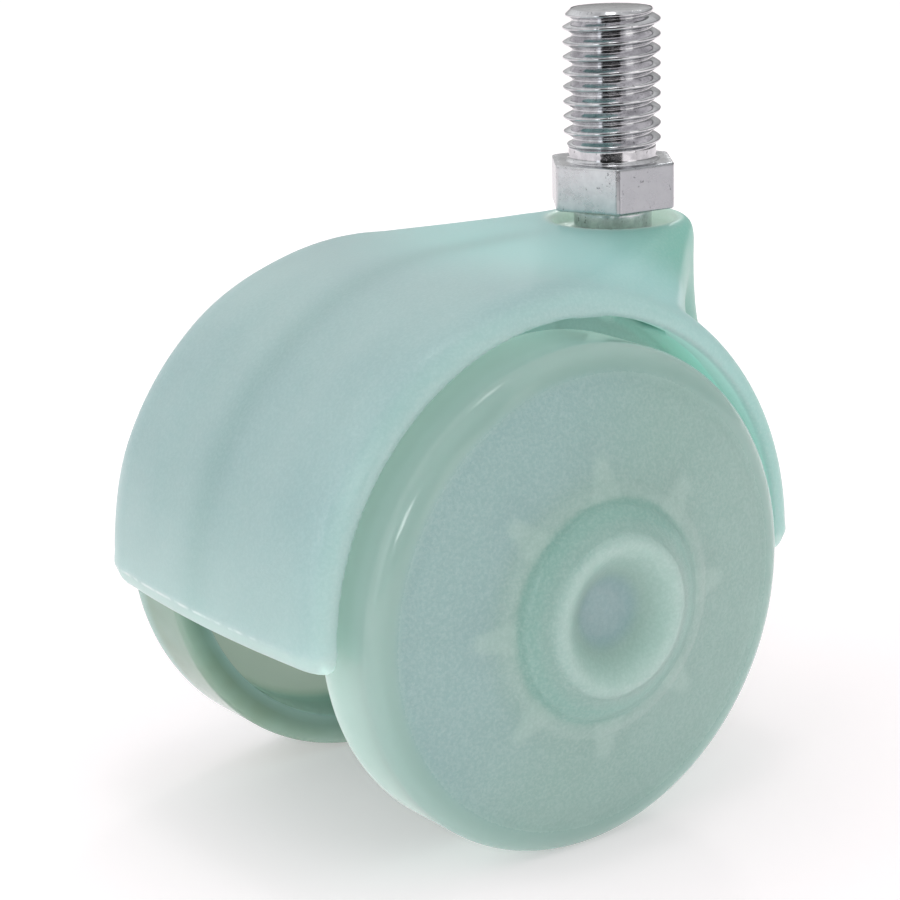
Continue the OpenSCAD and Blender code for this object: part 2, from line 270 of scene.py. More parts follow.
def wheel_plastic():
    m = Nodes("wheel_plastic")
    co = m.coords()
    cloud = m.noise(co, 50, 3)
    grain = m.noise(co, 2700, 2, 0.7)
    frost = m.attribute("frost")
    body = m.mix(m.span(cloud, 0.35, 0.65, 0, 1), srgb(142, 171, 164), srgb(148, 176, 169))
    # painted reflection: a bluish cast on the upper left of the frosted face
    body = m.tint(body, "blue_reflection", 0.6, (144, 172, 175))
    # painted shade: the shoulder darker than the face and the tread
    body = m.tint(body, "edge", 0.4, (128, 154, 148))
    body = m.tint(body, "ring", 0.45, (126, 174, 163))
    body = m.tint(body, "rib", 0.6, (166, 192, 184))
    # painted light: the hub's dish lighter, lifting the shade in the hollow, and its floor lighter and
    # bluer
    body = m.tint(body, "dish", 0.6, (166, 195, 186))
    body = m.tint(body, "pit", 0.8, (150, 184, 188))
    body = m.tint(body, "hollow", 0.6, (160, 162, 144))
    # painted shade on the left wheel's tread, with a mottled stain
    shade_and_stain = m.math("MULTIPLY", m.attribute("shade_and_stain"), m.span(m.noise(co, 110, 3), 0.35, 0.65, 0.45, 0.85))
    body = m.mix(shade_and_stain, body, srgb(116, 138, 118))
    body = m.mix(m.math("MULTIPLY", frost, m.span(grain, 0.4, 0.75, 0, 0.12)), body, srgb(236, 248, 244))
    m.put(m.bsdf, "Base Color", body)
    rough = m.math("ADD", m.math("MULTIPLY", frost, 0.24), m.span(grain, 0.3, 0.7, 0.1, 0.15))
    m.put(m.bsdf, "Roughness", rough)
    m.put(m.bsdf, "IOR", 1.5)
    m.put(m.bsdf, "Specular IOR Level", m.span(m.attribute("tread"), 0, 1, 0.5, 0.12))
    m.put(m.bsdf, "Subsurface Weight", 1.0)
    m.put(m.bsdf, "Subsurface Radius", (0.9, 1.0, 0.96))
    m.put(m.bsdf, "Subsurface Scale", 0.013)
    # painted glow: the tread gives off a faint light, standing in for light carried through the plastic
    m.put(m.bsdf, "Emission Color", m.mix(m.attribute("tread"), (0, 0, 0), srgb(110, 119, 114)))
    m.put(m.bsdf, "Emission Strength", 1.0)
    m.put(m.bsdf, "Normal", m.bump(m.math("MULTIPLY", grain, frost), 0.6))
    return m.mat


def plated_steel():
    m = Nodes("plated_steel")
    co = m.coords()
    cloud = m.noise(co, 520, 4, 0.65)
    pits = m.noise(co, 1900, 2, 0.6)
    flat = m.attribute("flat")
    stops = ((0.3, (166, 167, 170)), (0.52, (196, 197, 200)), (0.72, (218, 219, 221)))
    tone = m.ramp(cloud, [(at, srgb(*colour)) for at, colour in stops])
    tone = m.mix(m.math("MULTIPLY", flat, 0.4), tone, srgb(214, 216, 218))
    # painted shade: one flat of the hexagon darker than the others
    tone = m.mix(m.attribute("shaded_flat"), tone, srgb(152, 155, 160))
    dark = m.span(pits, 0.66, 0.72, 0, 0.6)
    m.put(m.bsdf, "Base Color", m.mix(dark, tone, srgb(84, 85, 88)))
    m.put(m.bsdf, "Metallic", 1.0)
    rough = m.math("ADD", m.span(cloud, 0.3, 0.7, 0.08, 0.16), m.math("MULTIPLY", flat, 0.16))
    m.put(m.bsdf, "Roughness", rough)
    m.put(m.bsdf, "Normal", m.bump(cloud, 0.2))
    return m.mat


def pin_steel(name, shade):
    """Plain steel of the pieces carried over from the CAD."""
    m = Nodes(name)
    cloud = m.noise(m.coords(), 500, 3)
    lighter = tuple(c + 22 for c in shade)
    m.put(m.bsdf, "Base Color", m.ramp(cloud, [(0.3, srgb(*shade)), (0.7, srgb(*lighter))]))
    m.put(m.bsdf, "Metallic", 1.0)
    m.put(m.bsdf, "Roughness", m.span(cloud, 0.3, 0.7, 0.25, 0.4))
    return m.mat


# ------------------------------------------------- distance field helpers
def smin(a, b, k):
    """Union with a soft joint of width k."""
    h = np.clip(0.5 + 0.5 * (b - a) / k, 0.0, 1.0)
    return b * (1 - h) + a * h - k * h * (1 - h)


def smax(a, b, k):
    return -smin(-a, -b, k)


def round_max(a, b, r):
    """Intersection whose edge is rounded to a radius."""
    u, v = np.maximum(a + r, 0), np.maximum(b + r, 0)
    return np.minimum(np.maximum(a, b), -r) + np.sqrt(u * u + v * v)


def outline_table(points, lo, hi, step):
    """Signed distance to a closed outline, on a table, negative inside."""
    gu = np.arange(lo[0], hi[0] + step, step)
    gv = np.arange(lo[1], hi[1] + step, step)
    U, V = np.meshgrid(gu, gv, indexing="ij")
    best = np.full(U.shape, 1e9)
    inside = np.zeros(U.shape, bool)
    for a, b in zip(points, np.roll(points, -1, 0)):
        d = b - a
        t = np.clip(((U - a[0]) * d[0] + (V - a[1]) * d[1]) / max(d @ d, 1e-12), 0, 1)
        best = np.minimum(best, np.hypot(U - a[0] - t * d[0], V - a[1] - t * d[1]))
        crosses = (a[1] > V) != (b[1] > V)
        at = a[0] + (V - a[1]) * (b[0] - a[0]) / (b[1] - a[1] if b[1] != a[1] else 1e-12)
        inside ^= crosses & (U < at)
    return np.where(inside, -best, best).astype(np.float32), lo, step


def look_up(table, u, v):
    """Value of a table between its points."""
    t, lo, step = table
    fu = np.clip((u - lo[0]) / step, 0, t.shape[0] - 1.001)
    fv = np.clip((v - lo[1]) / step, 0, t.shape[1] - 1.001)
    i, j = fu.astype(int), fv.astype(int)
    a, b = fu - i, fv - j
    return (
        t[i, j] * (1 - a) * (1 - b)
        + t[i + 1, j] * a * (1 - b)
        + t[i, j + 1] * (1 - a) * b
        + t[i + 1, j + 1] * a * b
    )


def blur(f, sigma, step):
    """Gaussian blur of a field on an even grid."""
    n = int(math.ceil(3 * sigma / step))
    w = np.exp(-0.5 * (np.arange(-n, n + 1) * step / sigma) ** 2)
    w /= w.sum()
    for axis in range(3):
        pad = [(0, 0)] * 3
        pad[axis] = (n, n)
        g = np.pad(f, pad, mode="edge")
        out = np.zeros_like(f)
        for i, wi in enumerate(w):
            s = [slice(None)] * 3
            s[axis] = slice(i, i + f.shape[axis])
            out += wi * g[tuple(s)]
        f = out
    return f


def resample_axis(f, old, new, axis):
    """Cubic interpolation of a field from one even grid to other places along one axis."""
    step = old[1] - old[0]
    p = np.clip((new - old[0]) / step, 1, len(old) - 2.001)
    i = p.astype(int)
    t = p - i
    w = [
        0.5 * (-t + 2 * t**2 - t**3),
        0.5 * (2 - 5 * t**2 + 3 * t**3),
        0.5 * (t + 4 * t**2 - 3 * t**3),
        0.5 * (-(t**2) + t**3),
    ]
    shape = [1, 1, 1]
    shape[axis] = len(new)
    return sum(np.take(f, i + k - 1, axis) * w[k].reshape(shape).astype(np.float32) for k in range(4))


def surface_nets(f, axes):
    """Quad mesh of a field's zero surface on a grid with its own spacing along each axis."""
    inside = f < 0
    dims = [n - 1 for n in f.shape]
    total = dims[0] * dims[1] * dims[2]
    acc, cnt, found = np.zeros((3, total)), np.zeros(total), []
    for a in range(3):
        s0, s1 = [slice(None)] * 3, [slice(None)] * 3
        s0[a], s1[a] = slice(0, -1), slice(1, None)
        idx = np.argwhere(inside[tuple(s0)] != inside[tuple(s1)])
        j = idx.copy()
        j[:, a] += 1
        f0, f1 = f[tuple(idx.T)], f[tuple(j.T)]
        t = f0 / (f0 - f1)
        p = np.stack([axes[d][idx[:, d]] for d in range(3)], 1)
        p[:, a] += t * (axes[a][j[:, a]] - axes[a][idx[:, a]])
        b, c = (a + 1) % 3, (a + 2) % 3
        cells = []
        for db, dc in ((-1, -1), (0, -1), (0, 0), (-1, 0)):
            cell = idx.copy()
            cell[:, b] += db
            cell[:, c] += dc
            flat = (cell[:, 0] * dims[1] + cell[:, 1]) * dims[2] + cell[:, 2]
            cells.append(flat)
            for d in range(3):
                acc[d] += np.bincount(flat, weights=p[:, d], minlength=total)
            cnt += np.bincount(flat, minlength=total)
        cells = np.stack(cells, 1)
        cells[f0 > 0] = cells[f0 > 0][:, ::-1]
        found.append(cells)
    used = np.nonzero(cnt)[0]
    number = np.full(total, -1)
    number[used] = np.arange(len(used))
    return (acc[:, used] / cnt[used]).T, number[np.concatenate(found)]


def settle(verts, f, axes):
    """Moves points on to the field's zero surface, in two rounds."""
    for _ in range(2):
        ijk, w = [], []
        for d in range(3):
            i = np.clip(np.searchsorted(axes[d], verts[:, d]) - 1, 0, len(axes[d]) - 2)
            ijk.append(i)
            w.append((verts[:, d] - axes[d][i]) / (axes[d][i + 1] - axes[d][i]))
        c = {}
        for x in (0, 1):
            for y in (0, 1):
                for z in (0, 1):
                    c[x, y, z] = f[ijk[0] + x, ijk[1] + y, ijk[2] + z]
        value, grad = 0, []
        for x, y, z in c:
            wx, wy, wz = (w[d] if k else 1 - w[d] for d, k in enumerate((x, y, z)))
            value = value + c[x, y, z] * wx * wy * wz
        for d in range(3):
            o = [e for e in range(3) if e != d]
            g = 0
            for p in (0, 1):
                for q in (0, 1):
                    hi, lo = [0] * 3, [0] * 3
                    hi[d] = 1
                    hi[o[0]] = lo[o[0]] = p
                    hi[o[1]] = lo[o[1]] = q
                    wp = w[o[0]] if p else 1 - w[o[0]]
                    wq = w[o[1]] if q else 1 - w[o[1]]
                    g = g + (c[tuple(hi)] - c[tuple(lo)]) * wp * wq
            grad.append(g / (axes[d][ijk[d] + 1] - axes[d][ijk[d]]))
        grad = np.stack(grad, 1)
        step = value[:, None] * grad / np.maximum((grad**2).sum(1), 0.2)[:, None]
        verts = verts - np.clip(step, -0.15, 0.15)
    return verts


# ------------------------------------------------------------- the hood
CROWN_R, CROWN_AHEAD = 30.6, 0.4
CROWN_X, CROWN_Z = AX + CROWN_AHEAD, AZ + 0.2
RIM_OUT, RIM_IN = 27.4, 26.8
HOOD_HALF, EDGE_W, EDGE_H = 19.0, 4.5, 2.5
WALL = 2.4
LIP_Z = AZ - 1.95
SADDLE_LOW = AZ + 0.6 * CROWN_R
EDGE_Y = HOOD_HALF - EDGE_W
SAG = 0.7
ARC_R = (SAG**2 + EDGE_Y**2) / (2 * SAG)
ARC_A = math.degrees(math.asin(EDGE_Y / ARC_R))
SADDLE_AHEAD, SADDLE_BEHIND = 0.45 * CROWN_R, 0.35 * CROWN_R
RECESS_R, RECESS_H = 6.0, 1.2
BORE_R, RING_ROOM_R, RING_MID, RING_ROOM = 4.05, 5.0, 0.6, 0.9
WEB_HALF, GUSSET_HALF = 1.5, 0.9
BOSS_R, BOSS_HALF, PIN_BORE_R = 6.5, 9.5, 3.01
# how far the hulls stay under the surfaces that they run into
UNDER = 0.08


def neck_r(drop):
    return NECK_R + drop * NECK_DRAFT


def mirrored(half):
    """Closed outline from one half of a profile, given from the middle plane outwards."""
    end = half[-1]
    return np.concatenate([[[0, end[1]]], half[::-1], half[1:] * [1, -1], [[0, -end[1]]]])


def crown_half(across, roll_from, roll_steps):
    """Half of the crown's section, as radius and y: its flat arc, then its rolled edge."""
    a = np.radians(np.linspace(0, ARC_A, across))
    top = np.stack([CROWN_R - ARC_R * (1 - np.cos(a)), ARC_R * np.sin(a)], 1)
    t = np.radians(np.linspace(roll_from, 0, roll_steps))
    side = np.stack([RIM_OUT + EDGE_H * np.sin(t), EDGE_Y + EDGE_W * np.cos(t)], 1)
    return np.concatenate([top, side])


def cavity_half(across):
    """Half of the section of the space under the crown."""
    a = np.radians(np.linspace(0, ARC_A, across))
    r = ARC_R - WALL
    top = np.stack([CROWN_R - WALL - r * (1 - np.cos(a)), r * np.sin(a)], 1)
    return np.concatenate([top, [[RIM_IN - 0.6, HOOD_HALF - 1.0]]])


def section_table(half):
    """Distance to a section of the hood, by radius and y."""
    return outline_table(mirrored(half), (-1, -24), (40, 24), 0.1)


def neck_outline():
    """Section of the neck, with the drop below its top as height."""
    depth = SOCKET_D + SOCKET_FLOOR
    top = arc(NECK_R - NECK_ROUND, -NECK_ROUND, NECK_ROUND, NECK_ROUND, 90, 2, 10)
    wall = [[neck_r(11), -11], [neck_r(11), -0.6 * depth], [4 + 3.4, -depth]]
    half = np.concatenate([[[0, 0]], top, wall, [[0, -depth]]])
    return np.concatenate([half, (half * [-1, 1])[::-1][1:-1]])


def crown_ring(outline_half, ahead, behind):
    """Points of the crown between two planes and above the saddle's foot, for a hull."""
    pts = []
    for x in np.linspace(-behind, ahead, 12):
        for r, y in outline_half:
            r = r - UNDER
            h = x - CROWN_AHEAD
            if abs(h) < r:
                z = math.sqrt(r * r - h * h)
                if CROWN_Z + z > SADDLE_LOW:
                    pts += [(AX + x, y, CROWN_Z + z), (AX + x, -y, CROWN_Z + z)]
                pts += [(AX + x, y, SADDLE_LOW), (AX + x, -y, SADDLE_LOW)]
    return pts


def hull_planes(points):
    """Outward planes of a convex hull."""
    bm = bmesh.new()
    for p in points:
        bm.verts.new(p)
    bmesh.ops.convex_hull(bm, input=bm.verts)
    bm.normal_update()
    planes = []
    centre = np.mean(points, 0)
    for fc in bm.faces:
        if fc.calc_area() < 1e-6:
            continue
        n = np.array(fc.normal)
        d = float(n @ np.array(fc.verts[0].co))
        if n @ centre > d:
            n, d = -n, -d
        planes.append((*n, d))
    bm.free()
    return np.unique(np.round(planes, 4), axis=0)


def hull_field(planes, X, Y, Z):
    out = np.full((len(X), len(Y), len(Z)), -1e9, np.float32)
    for nx, ny, nz, d in planes:
        g = (nx * X)[:, None, None] + (ny * Y)[None, :, None] + (nz * Z)[None, None, :] - d
        np.maximum(out, g.astype(np.float32), out=out)
    return out


def ring(z, r):
    """Points of a level circle about the swivel axis."""
    t = np.arange(32) * 2 * np.pi / 32
    return [(r * math.cos(a), r * math.sin(a), z) for a in t]


def saddle_points():
    """Points of the hull that runs from the crown up to the neck."""
    top = []
    inner = NECK_ROUND - UNDER
    for r, z in arc(NECK_R - NECK_ROUND, -NECK_ROUND, inner, inner, 90, 2, 3):
        top += ring(NECK_TOP + z, r)
    top += ring(NECK_TOP - 11 / 3, neck_r(11 / 3) - UNDER)
    # fuller behind the neck
    top += [(x, y, z + 1.15) for x, y, z in ring(NECK_TOP - NECK_ROUND, NECK_R - 0.3) if x < -2]
    return crown_ring(crown_half(5, 80, 7), SADDLE_AHEAD, SADDLE_BEHIND) + top


def flare_points():
    """Points of the hull that spreads the neck's foot on to the crown."""
    points = []
    reach = neck_r(11) + 2.2

    def under_crown(x, y):
        r = CROWN_R - 0.3 - y * y / (2 * ARC_R)
        h = x - CROWN_X
        return [(x, y, CROWN_Z + math.sqrt(r * r - h * h))] if abs(h) < r else []

    for t in np.arange(32) * np.pi / 16:
        x, y = reach * math.cos(t), reach * math.sin(t)
        found = under_crown(x, y)
        points += found + [(x, y, CROWN_Z + 8) for _ in found]
    for x in (7.8, 8.4, 8.8):
        for y in (-6, -3, 0, 3, 6):
            if math.hypot(x, y) < reach:
                points += under_crown(x, y)
    return points + ring(NECK_TOP - 10, neck_r(10) - UNDER)


def outside_field(neck):
    """Outside of the hood on an even grid, so that it can be softened round the neck."""
    step = 0.5
    X, Y, Z = (np.arange(a, b + step, step) for a, b in ((-55, 12), (-21.5, 21.5), (-48, -5)))
    gx, gy, gz = X[:, None, None], Y[None, :, None], Z[None, None, :]
    rho = np.sqrt((gx - CROWN_X) ** 2 + (gz - CROWN_Z) ** 2) + 0 * gy
    f = look_up(section_table(crown_half(12, 88, 20)), rho, gy + 0 * rho).astype(np.float32)
    # the crown is a little fuller along its upper rear edges
    ay = np.abs(gy) + 0 * rho
    tilt = np.degrees(np.arctan2(gz - CROWN_Z, CROWN_X - gx)) + 0 * gy
    swell = smoothstep(tilt, 5, 25) * (1 - smoothstep(tilt, 52, 75))
    f -= 0.4 * swell * smoothstep(ay, 6, 11) * (1 - smoothstep(ay, 17, 18.8))
    for points in (saddle_points(), flare_points()):
        f = np.minimum(f, hull_field(hull_planes(points), X, Y, Z))
    from_stem = np.sqrt(gx**2 + gy**2) + 0 * gz
    col = look_up(neck, from_stem, gz - NECK_TOP + 0 * gx + 0 * gy).astype(np.float32)
    f = smin(f, col, 0.6)
    soft = blur(f, 1.1, step)
    slight = blur(f, 0.45, step)
    here = smoothstep(gx + 0 * rho, -34, -24) * (1 - smoothstep(ay, 12.5, 15.5))
    below = 1 - smoothstep(gz + 0 * rho, NECK_TOP - 4.2, NECK_TOP - 2.2)
    away = smoothstep(from_stem, 10.0, 12.5)
    mask = here * np.maximum(below, away)
    f = (soft * mask + slight * (1 - mask) * here + f * (1 - here)).astype(np.float32)
    return f, (X, Y, Z)


def fine_axes():
    """Places of the fine grid along each axis, closer across the hood's edges."""
    h = 0.4
    ys = [0.0]
    while ys[-1] < 19.8:
        y = ys[-1]
        ys.append(y + (0.36 if y < 2.4 or y > 12.6 else 0.62))
    ys = np.array(ys)
    return (
        np.arange(-52.9, 10.3, h),
        np.concatenate([-ys[:0:-1], ys]),
        np.arange(-46.4, NECK_TOP + 0.9, h),
    )


def hood_field():
    """The whole moulding, on the fine grid."""
    neck = outline_table(neck_outline(), (-1, -30), (20, 6), 0.1)
    f, even = outside_field(neck)
    fine = fine_axes()
    for axis in range(3):
        f = resample_axis(f, even[axis], fine[axis], axis)
    nx, ny, nz = fine
    gx, gy, gz = nx[:, None, None], ny[None, :, None], nz[None, None, :]
    full = np.zeros(f.shape, np.float32)
    ay = np.abs(gy) + full
    rho_c = np.sqrt((gx - CROWN_X) ** 2 + (gz - CROWN_Z) ** 2) + full
    rho_a = np.sqrt((gx - AX) ** 2 + (gz - AZ) ** 2) + full
    rho_n = np.sqrt(gx**2 + gy**2) + full
    # the lip with its rolled edge
    slope = f * math.cos(0.3) + (LIP_Z + 2.2 - gz) * math.sin(0.3)
    bead = 0.14 * np.exp(-(((gz - LIP_Z - 2.3) / 0.45) ** 2))
    out = round_max(smax(f, slope, 0.2) - bead, (LIP_Z - gz) + full, 1.2)
    # the space inside, less the web, the neck's socket and the ribs under it
    cavity = look_up(section_table(cavity_half(12)), rho_c, gy + full)
    top = ring(NECK_TOP - WALL, NECK_R - WALL) + ring(NECK_TOP - 2 * WALL, NECK_R - WALL)
    hollow = hull_planes(crown_ring(cavity_half(5), SADDLE_AHEAD - 0.6, SADDLE_BEHIND) + top)
    v = np.minimum(cavity, hull_field(hollow, nx, ny, nz))
    v = np.minimum(v, rho_c - RIM_IN)
    v = smax(v, -(ay - WEB_HALF), 0.7)
    v = smax(v, -look_up(neck, rho_n, gz - NECK_TOP + full), 0.7)
    c = math.cos(math.radians(45))
    gus = np.maximum(np.abs(np.abs(gy) * c + gx * c) - GUSSET_HALF, gx + full)
    gus = np.maximum(gus, RIM_IN - rho_c)
    v = smax(v, -gus, 0.6)
    solid = round_max(out, -v, 0.4)
    boss = round_max(rho_a - BOSS_R, ay - BOSS_HALF, 0.5)
    solid = smin(solid, boss, 0.8)
    # bores for the axle and the shank, with a recess at the mouth and one for the ring
    solid = np.maximum(solid, PIN_BORE_R - rho_a)
    bore = np.maximum(rho_n - BORE_R, (NECK_TOP - SOCKET_D) - gz + full)
    mouth = np.maximum(rho_n - RECESS_R, (NECK_TOP - RECESS_H) - gz + full)
    recess = np.maximum(rho_n - RING_ROOM_R, np.abs(gz + full - GROOVE_Z - RING_MID) - RING_ROOM)
    solid = smax(solid, -np.minimum(bore, recess), 0.25)
    solid = smax(solid, -mouth, 1.2)
    return solid.astype(np.float32), fine


def build_hood(material):
    f, axes = hood_field()
    verts, quads = surface_nets(f, axes)
    verts = settle(verts, f, axes)
    ob = make_object("hood", verts, quads.tolist(), "housing", material, "housing")
    x, y, z = verts.T
    rc = np.hypot(x - CROWN_X, z - CROWN_Z)
    outer = smoothstep(rc, 29.2, 29.9)
    # painted shadow: a darker stripe along the crown's middle, over the inner web
    web = np.exp(-((y / 2.4) ** 2)) * outer * (1 - smoothstep(x, -14, -6))
    on_neck = 1 - smoothstep(np.hypot(x, y), 10.5, 19.0)
    by_neck = 1 - smoothstep(np.hypot(x + 2, y), 13.0, 29.0)
    # painted shade: darker and greener towards the right-hand side and the front
    right_shade = on_neck * smoothstep(0.8 * x - 0.6 * y, -7.0, 8.5)
    right_shade = np.maximum(right_shade, 0.65 * smoothstep(x, -5, 6))
    # painted light: the recess round the shank, lit through the plastic
    mouth = (1 - smoothstep(np.hypot(x, y), 6.0, 7.6)) * smoothstep(z, NECK_TOP - 3.0, NECK_TOP - 1.0)
    # painted glow: the hood's inner surfaces under its edges, with the recess, give off light
    buried = (1 - smoothstep(rc, 27.9, 28.6)) * (1 - smoothstep(np.abs(y), 18.2, 18.8))
    set_attribute(ob, "web", web)
    set_attribute(ob, "neck", by_neck * smoothstep(rc, 26.9, 27.4))
    set_attribute(ob, "right_shade", 0.85 * right_shade)
    set_attribute(ob, "inside", np.clip(buried * (1 - 0.5 * smoothstep(x, -2, 6)) + mouth, 0, 1))
    set_attribute(ob, "mouth", mouth)
    # painted light: lighter rolled band at the bottom of the lip
    set_attribute(ob, "lip", 1 - smoothstep(z, LIP_Z + 1.7, LIP_Z + 2.3))
    # painted light: lighter band along the hood's thin side edges
    set_attribute(ob, "rim", smoothstep(np.abs(y), 17.2, 18.6))
    return ob


# ----------------------------------------------------------- the wheels
RIB_END = 15.4


def wheel_profile():
    """Outline of a wheel from the middle of the dish round to the bore, and where its inside starts."""
    face_out, face_in, hub_top, dish = 22.8, 25.0, 27.3, 24.6
    outer = [
        [[0, dish]],
        [[2.4 + 4.36 * t, dish + 6.51 * t**2 - 3.865 * t**3] for t in np.linspace(0, 0.96, 16)],
        arc(7.1, hub_top - 0.9, 1.0, 0.9, 110, 20, 9),
        arc(10.75 + 0.9, face_in + 0.95, 1.4, 0.95, -165, -98, 8),
        [[12.2, face_in - 0.14]],
    ]
    slope = (face_in - face_out) / (21.8 - 10.7)
    outer.append([[r, face_in - 0.02 - slope * (r - 10.7)] for r in np.linspace(12.6, 20.4, 30)])
    edge = face_in - 0.02 - slope * (20.4 - 10.7)
    outer.append([[20.9, edge - 0.11], [21.3, edge - 0.21], [21.6, edge - 0.31], [21.9, edge - 0.41]])
    top = edge - 0.43
    outer.append(arc(21.9, 20.6, 3.1, top - 20.6, 80, 0, 16))
    outer.append([[25.0, w] for w in np.linspace(20.2, 14.2, 12)])
    outer.append(arc(24.5, 14.1, 0.5, 0.5, 0, -90, 5))
    inner = [
        [[r, 13.6] for r in np.linspace(24.2, 22.1, 6)],
        arc(22.05, 13.85, 0.25, 0.25, -90, -180, 4),
        [[21.8 - 0.02 * i, 14.2 + 0.8 * i] for i in range(1, 7)],
        arc(20.6, 19.5, 1.0, 1.0, 0, 90, 6),
        [[r, 20.5 + (20.6 - r) * slope] for r in np.linspace(20.2, 11.0, 18)],
        [[10.4, 22.5], [7.3, 22.5]],
        arc(7.3, 21.7, 0.8, 0.8, 90, 180, 4),
        [[6.5, w] for w in np.linspace(21.2, 10.2, 10)],
        arc(6.2, 10.1, 0.3, 0.3, 0, -90, 3),
        [[3.45, 9.8], [3.05, 10.2], [3.05, 18.0], [3.05, 22.1], [0, 22.1]],
    ]
    return (resample(np.concatenate([np.array(q, float) for q in part]), 0.9) for part in (outer, inner))


def rib_mask(r, ang, soft):
    """One where a rib lies behind the face, by radius and angle."""
    sector = (ang + math.pi / 8) % (math.pi / 4) - math.pi / 8
    across = np.abs(r * np.sin(sector))
    width = np.interp(r, [10.7, RIB_END], [1.6, 0.7])
    beside = smoothstep(across, width - soft, width + soft)
    return (1 - beside) * (1 - smoothstep(r, RIB_END - 2 * soft, RIB_END + soft))


def build_wheel(side, material):
    outer, inner = wheel_profile()
    segments = 256
    verts, faces = lathe(np.concatenate([outer, inner]), segments)
    lx, ly, lz = verts.T
    r = np.hypot(lx, ly)
    ang = np.arctan2(ly, lx)
    # the ribs stand out from the inside of the face
    within = np.arange(len(verts)) > 1 + segments * (len(outer) - 1)
    behind = within & (r > 6.4) & (r < 16.5) & (lz > 15)
    crest = 19.3 - 0.2 * np.clip(r - 10.7, 0, None)
    lz = np.where(behind, lz - rib_mask(r, ang, 0.2) * np.maximum(0, lz - crest), lz)
    outside = ~within & (lz > np.where(r < 11, 23.6, 23.4 - (r - 11) * 0.2))
    frost = smoothstep(-r, -23.2, -22.0) * outside
    rib = rib_mask(r, ang, 0.55) * smoothstep(r, 10.6, 11.4)
    band = smoothstep(r, 10.7, 11.3) * (1 - smoothstep(r, 12.2, 13.2))
    rib = np.clip(rib + 0.45 * band, 0, 1) * outside
    teal = smoothstep(r, 8.4, 9.4) * (1 - smoothstep(r, 10.7, 11.5)) * outside
    # from the lathe's own axis to the axle, mirrored from side to side
    world = np.stack([AX + lx, side * lz, AZ + ly], 1)
    if side > 0:
        faces = [tuple(reversed(fc)) for fc in faces]
    node = "wheel_left" if side > 0 else "wheel_right"
    ob = make_object(node + "_body", world, faces, node, material, node)
    set_attribute(ob, "frost", frost)
    shoulder = smoothstep(lz, 18.8, 20.6)
    # painted shade: darker band on the rounded shoulder
    set_attribute(ob, "edge", smoothstep(r, 22.3, 23.8) * shoulder)
    # painted glow in the tread, weaker on the left wheel, and painted shade with a mottled stain on the
    # tread of the left wheel
    tread_glow = smoothstep(r, 22.4, 24.6) * (1 - 0.65 * smoothstep(lz, 16.5, 21.5))
    set_attribute(ob, "tread", tread_glow * (0.3 if side > 0 else 1.0))
    # painted shade with a mottled stain, on the left wheel's tread only
    set_attribute(ob, "shade_and_stain", smoothstep(r, 21.9, 23.0) * (1 - shoulder) * (side > 0))
    # painted reflection: bluish cast on the upper left of the frosted face
    set_attribute(ob, "blue_reflection", smoothstep(0.4 * ly - 0.9 * lx, -3.0, 14.0) * smoothstep(r, 11, 15) * frost)
    # painted light: lighter dish at the hub, with a lighter, bluer floor
    set_attribute(ob, "dish", (1 - smoothstep(r, 6.2, 8.8)) * outside)
    set_attribute(ob, "pit", (1 - smoothstep(r, 2.6, 4.2)) * outside)
    set_attribute(ob, "hollow", within * (1 - smoothstep(r, 21.2, 21.9)))
    set_attribute(ob, "rib", rib)
    set_attribute(ob, "ring", teal)
    return ob


# ------------------------------------------------------------- the stem
def thread_mesh():
    """Thread with its chamfered end and its run-out to the seat of the hexagon."""
    n = 160
    ang = np.arange(n) * 2 * np.pi / n
    # share of the thread's depth along one pitch
    flank = [
        (0.0, 1.0), (0.05, 1.0), (0.1, 0.93), (0.2, 0.68),
        (0.3, 0.38), (0.38, 0.12), (0.44, 0.02), (0.5, 0.0),
    ]
    shape = sorted(flank + [(1 - p, v) for p, v in flank[1:-1]])
    turns = int(math.ceil((STEM_TOP + 2) / THREAD_PITCH)) + 3
    low = SEAT_Z - 0.3
    verts = []
    for u, v in ((t + p, v) for t in range(-3, turns) for p, v in shape):
        z = THREAD_PHASE % THREAD_PITCH + THREAD_PITCH * (u + ang / (2 * np.pi))
        r = THREAD_ROOT + (THREAD_CREST - THREAD_ROOT) * v + 0 * z
        r = np.minimum(r, STEM_END_R + np.maximum(0, STEM_TOP - z) * 1.05)
        r = COLLAR_R + (r - COLLAR_R) * smoothstep(z, SEAT_Z + 1.3, SEAT_Z + 1.9)
        r = r + 0.4 * np.clip(1 - (z - SEAT_Z) / 0.4, 0, 1) ** 2
        r = np.where(z >= STEM_TOP, np.minimum(r, STEM_END_R), r)
        verts.append(np.stack([r * np.cos(ang), r * np.sin(ang), np.clip(z, low, STEM_TOP)], 1))
    rows = len(verts)
    verts = np.concatenate(verts)
    faces = []
    for i in range(rows - 1):
        for k in range(n):
            a, b = i * n + k, i * n + (k + 1) % n
            if k == n - 1:
                # the helix closes one turn higher
                if i + 1 + len(shape) >= rows:
                    continue
                b += len(shape) * n
            # what is clipped flat at either end is left out
            zs = verts[[a, b, b + n, a + n], 2]
            level = zs.max() - zs.min() < 1e-7
            if level and (zs.max() >= STEM_TOP - 1e-6 or zs.min() <= low + 1e-6):
                continue
            faces.append((a, b, b + n, a + n))
    return verts, faces


def end_disc():
    verts, faces = lathe(np.array([[STEM_END_R, STEM_TOP], [3.9, STEM_TOP], [0, STEM_TOP]]), 96)
    verts[:, 2] = np.where(np.hypot(verts[:, 0], verts[:, 1]) > 4.0, STEM_TOP - 0.05, STEM_TOP)
    return verts, faces


